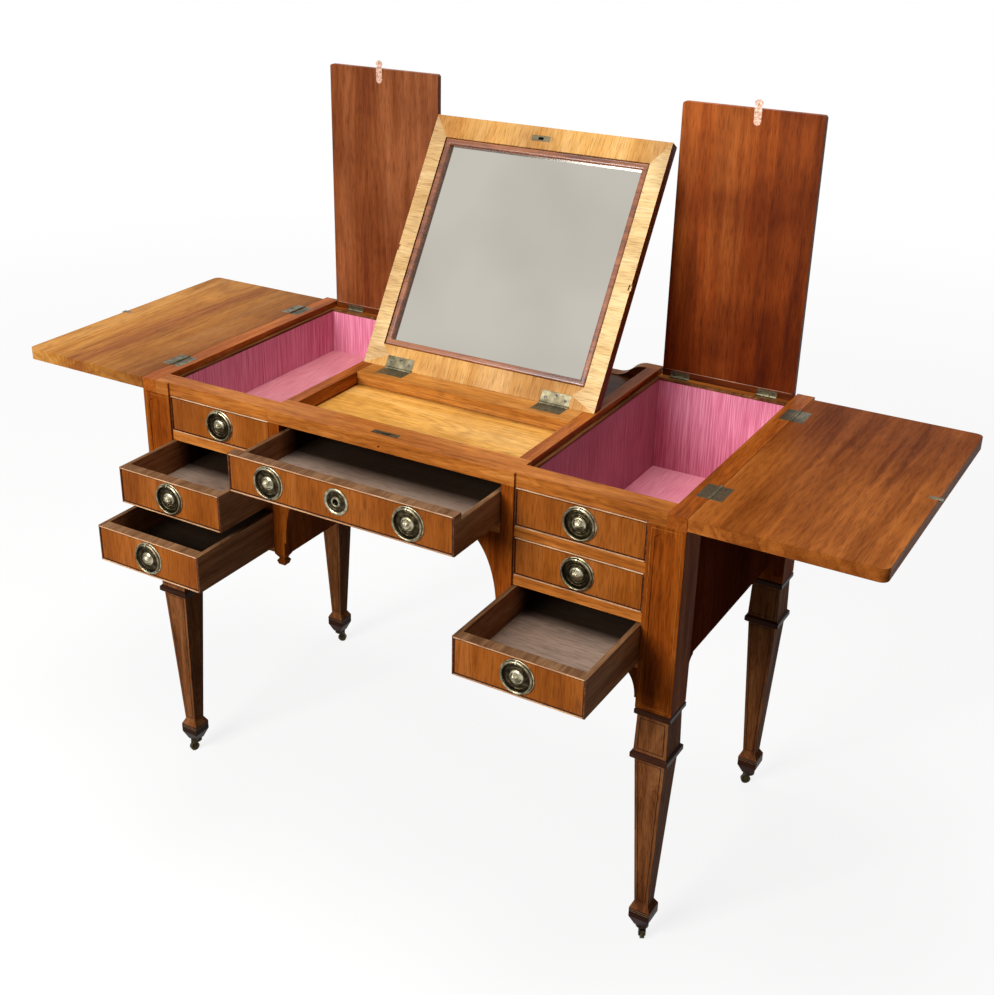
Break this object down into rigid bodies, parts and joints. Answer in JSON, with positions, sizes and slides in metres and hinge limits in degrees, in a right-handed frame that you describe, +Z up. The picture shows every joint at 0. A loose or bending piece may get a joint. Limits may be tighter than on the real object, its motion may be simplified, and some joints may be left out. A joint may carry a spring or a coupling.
{
  "type": "dressing table",
  "caption": "Mahogany poudreuse dressing table with folding leaves, silk lined wells under hinged flaps, a sliding and tilting mirror lid, drawers with ring handles and tapered legs on castors.",
  "frame": {"origin": "on the floor, centre of the bounding box of the table as it stands open", "axes": "+X to the sitter's right along the longest side, +Y to the back, +Z up"},
  "size_m": [1.5898, 0.7457, 1.2707],
  "materials": {
    "mahogany": "figured mahogany veneer, waxed satin",
    "mahogany_golden": "golden unfaded mahogany, satin",
    "mahogany_red": "dark red mahogany, satin",
    "pine": "bare secondary wood",
    "silk": "ribbed pink silk over board",
    "hinge_brass": "aged brass, worn",
    "handle_brass": "pressed brass, polished on the high parts",
    "castor_brass": "aged brass",
    "mirror_glass": "silvered plate glass"
  },
  "bodies": {
    "carcase": {"back": "mahogany", "brackets": "mahogany", "divider_left": "mahogany", "divider_right": "mahogany", "drawer_rails": "mahogany", "end_left": "mahogany", "end_right": "mahogany", "false_fronts": "mahogany", "handle_plates_fixed": "handle_brass", "hinge_plates": "hinge_brass", "leg_front_left": "mahogany", "leg_front_right": "mahogany", "leg_rear_left": "mahogany", "leg_rear_right": "mahogany", "lid_lock": "hinge_brass", "recess_panel": "mahogany_golden", "runners": "pine", "silk_lining_left": "silk", "silk_lining_right": "silk", "top_rail_front": "mahogany"},
    "leaf_left": {"leaf_left": "mahogany", "leaf_left_brass": "hinge_brass"},
    "flap_left": {"flap_left": "mahogany_red", "flap_left_brass": "hinge_brass"},
    "leaf_right": {"leaf_right": "mahogany", "leaf_right_brass": "hinge_brass"},
    "flap_right": {"flap_right": "mahogany_red", "flap_right_brass": "hinge_brass"},
    "carriage": {"mirror_carriage": "mahogany_golden"},
    "lid": {"mirror_board": "mahogany", "mirror_frame": "mahogany_golden", "mirror_moulding": "mahogany", "mirror_glass": "mirror_glass", "mirror_brass": "hinge_brass"},
    "drawer_left_upper": {"drawer_left_upper": "mahogany", "handle_plates_left_upper": "handle_brass"},
    "drawer_left_lower": {"drawer_left_lower": "mahogany", "handle_plates_left_lower": "handle_brass"},
    "drawer_right": {"drawer_right": "mahogany", "handle_plates_right": "handle_brass"},
    "drawer_centre": {"drawer_centre": "mahogany", "handle_plates_centre": "handle_brass"},
    "ring_left_1": {"ring_left_1": "handle_brass"},
    "ring_right_1": {"ring_right_1": "handle_brass"},
    "ring_right_2": {"ring_right_2": "handle_brass"},
    "ring_left_upper": {"ring_left_upper": "handle_brass"},
    "ring_left_lower": {"ring_left_lower": "handle_brass"},
    "ring_right": {"ring_right": "handle_brass"},
    "ring_centre_left": {"ring_centre_left": "handle_brass"},
    "ring_centre_right": {"ring_centre_right": "handle_brass"},
    "castor_front_left": {"castor_fork_front_left": "castor_brass"},
    "wheel_front_left": {"castor_wheel_front_left": "castor_brass"},
    "castor_front_right": {"castor_fork_front_right": "castor_brass"},
    "wheel_front_right": {"castor_wheel_front_right": "castor_brass"},
    "castor_rear_left": {"castor_fork_rear_left": "castor_brass"},
    "wheel_rear_left": {"castor_wheel_rear_left": "castor_brass"},
    "castor_rear_right": {"castor_fork_rear_right": "castor_brass"},
    "wheel_rear_right": {"castor_wheel_rear_right": "castor_brass"}
  },
  "joints": [
    {"name": "leaf_left_hinge", "type": "hinge", "parent": "carcase", "child": "leaf_left", "pos_m": [-0.5104, 0, 0.79015], "axis": [0, 1, 0], "range_deg": [0, 180]},
    {"name": "flap_left_hinge", "type": "hinge", "parent": "carcase", "child": "flap_left", "pos_m": [-0.3425, 0.3599, 0.77915], "axis": [1, 0, 0], "range_deg": [0, 90]},
    {"name": "leaf_right_hinge", "type": "hinge", "parent": "carcase", "child": "leaf_right", "pos_m": [0.5104, 0, 0.79015], "axis": [0, -1, 0], "range_deg": [0, 180]},
    {"name": "flap_right_hinge", "type": "hinge", "parent": "carcase", "child": "flap_right", "pos_m": [0.3425, 0.3599, 0.77915], "axis": [1, 0, 0], "range_deg": [0, 90]},
    {"name": "carriage_slide", "type": "slide", "parent": "carcase", "child": "carriage", "axis": [0, 1, 0], "range_m": [0, 0.1994]},
    {"name": "lid_hinge", "type": "hinge", "parent": "carriage", "child": "lid", "pos_m": [0, 0.10075, 0.79015], "axis": [1, 0, 0], "range_deg": [0, 122]},
    {"name": "drawer_left_upper_slide", "type": "slide", "parent": "carcase", "child": "drawer_left_upper", "axis": [0, 1, 0], "range_m": [-0.165, 0.135]},
    {"name": "drawer_left_lower_slide", "type": "slide", "parent": "carcase", "child": "drawer_left_lower", "axis": [0, 1, 0], "range_m": [-0.105, 0.195]},
    {"name": "drawer_right_slide", "type": "slide", "parent": "carcase", "child": "drawer_right", "axis": [0, 1, 0], "range_m": [-0.122, 0.178]},
    {"name": "drawer_centre_slide", "type": "slide", "parent": "carcase", "child": "drawer_centre", "axis": [0, 1, 0], "range_m": [-0.169, 0.131]},
    {"name": "ring_left_1_hinge", "type": "hinge", "parent": "carcase", "child": "ring_left_1", "pos_m": [-0.3425, -0.17025, 0.7591], "axis": [-1, 0, 0], "range_deg": [0, 85]},
    {"name": "ring_right_1_hinge", "type": "hinge", "parent": "carcase", "child": "ring_right_1", "pos_m": [0.3425, -0.17025, 0.7591], "axis": [-1, 0, 0], "range_deg": [0, 85]},
    {"name": "ring_right_2_hinge", "type": "hinge", "parent": "carcase", "child": "ring_right_2", "pos_m": [0.3425, -0.17025, 0.6756], "axis": [-1, 0, 0], "range_deg": [0, 85]},
    {"name": "ring_left_upper_hinge", "type": "hinge", "parent": "drawer_left_upper", "child": "ring_left_upper", "pos_m": [-0.3425, -0.30525, 0.6756], "axis": [-1, 0, 0], "range_deg": [0, 85]},
    {"name": "ring_left_lower_hinge", "type": "hinge", "parent": "drawer_left_lower", "child": "ring_left_lower", "pos_m": [-0.3425, -0.36525, 0.5921], "axis": [-1, 0, 0], "range_deg": [0, 85]},
    {"name": "ring_right_hinge", "type": "hinge", "parent": "drawer_right", "child": "ring_right", "pos_m": [0.3425, -0.34825, 0.5921], "axis": [-1, 0, 0], "range_deg": [0, 85]},
    {"name": "ring_centre_left_hinge", "type": "hinge", "parent": "drawer_centre", "child": "ring_centre_left", "pos_m": [-0.13, -0.30525, 0.7591], "axis": [-1, 0, 0], "range_deg": [0, 85]},
    {"name": "ring_centre_right_hinge", "type": "hinge", "parent": "drawer_centre", "child": "ring_centre_right", "pos_m": [0.13, -0.30525, 0.7591], "axis": [-1, 0, 0], "range_deg": [0, 85]},
    {"name": "castor_front_left_swivel", "type": "hinge", "parent": "carcase", "child": "castor_front_left", "pos_m": [-0.481, -0.14125, 0.027], "axis": [0, 0, 1], "continuous": true},
    {"name": "wheel_front_left_axle", "type": "hinge", "parent": "castor_front_left", "child": "wheel_front_left", "pos_m": [-0.48271, -0.14595, 0.009], "axis": [0.9397, -0.342, 0], "continuous": true},
    {"name": "castor_front_right_swivel", "type": "hinge", "parent": "carcase", "child": "castor_front_right", "pos_m": [0.481, -0.14125, 0.027], "axis": [0, 0, 1], "continuous": true},
    {"name": "wheel_front_right_axle", "type": "hinge", "parent": "castor_front_right", "child": "wheel_front_right", "pos_m": [0.4835, -0.14558, 0.009], "axis": [0.866, 0.5, 0], "continuous": true},
    {"name": "castor_rear_left_swivel", "type": "hinge", "parent": "carcase", "child": "castor_rear_left", "pos_m": [-0.481, 0.34275, 0.027], "axis": [0, 0, 1], "continuous": true},
    {"name": "wheel_rear_left_axle", "type": "hinge", "parent": "castor_rear_left", "child": "wheel_rear_left", "pos_m": [-0.4763, 0.34446, 0.009], "axis": [-0.342, 0.9397, 0], "continuous": true},
    {"name": "castor_rear_right_swivel", "type": "hinge", "parent": "carcase", "child": "castor_rear_right", "pos_m": [0.481, 0.34275, 0.027], "axis": [0, 0, 1], "continuous": true},
    {"name": "wheel_rear_right_axle", "type": "hinge", "parent": "castor_rear_right", "child": "wheel_rear_right", "pos_m": [0.4769, 0.33988, 0.009], "axis": [0.5736, -0.8192, 0], "continuous": true}
  ]
}
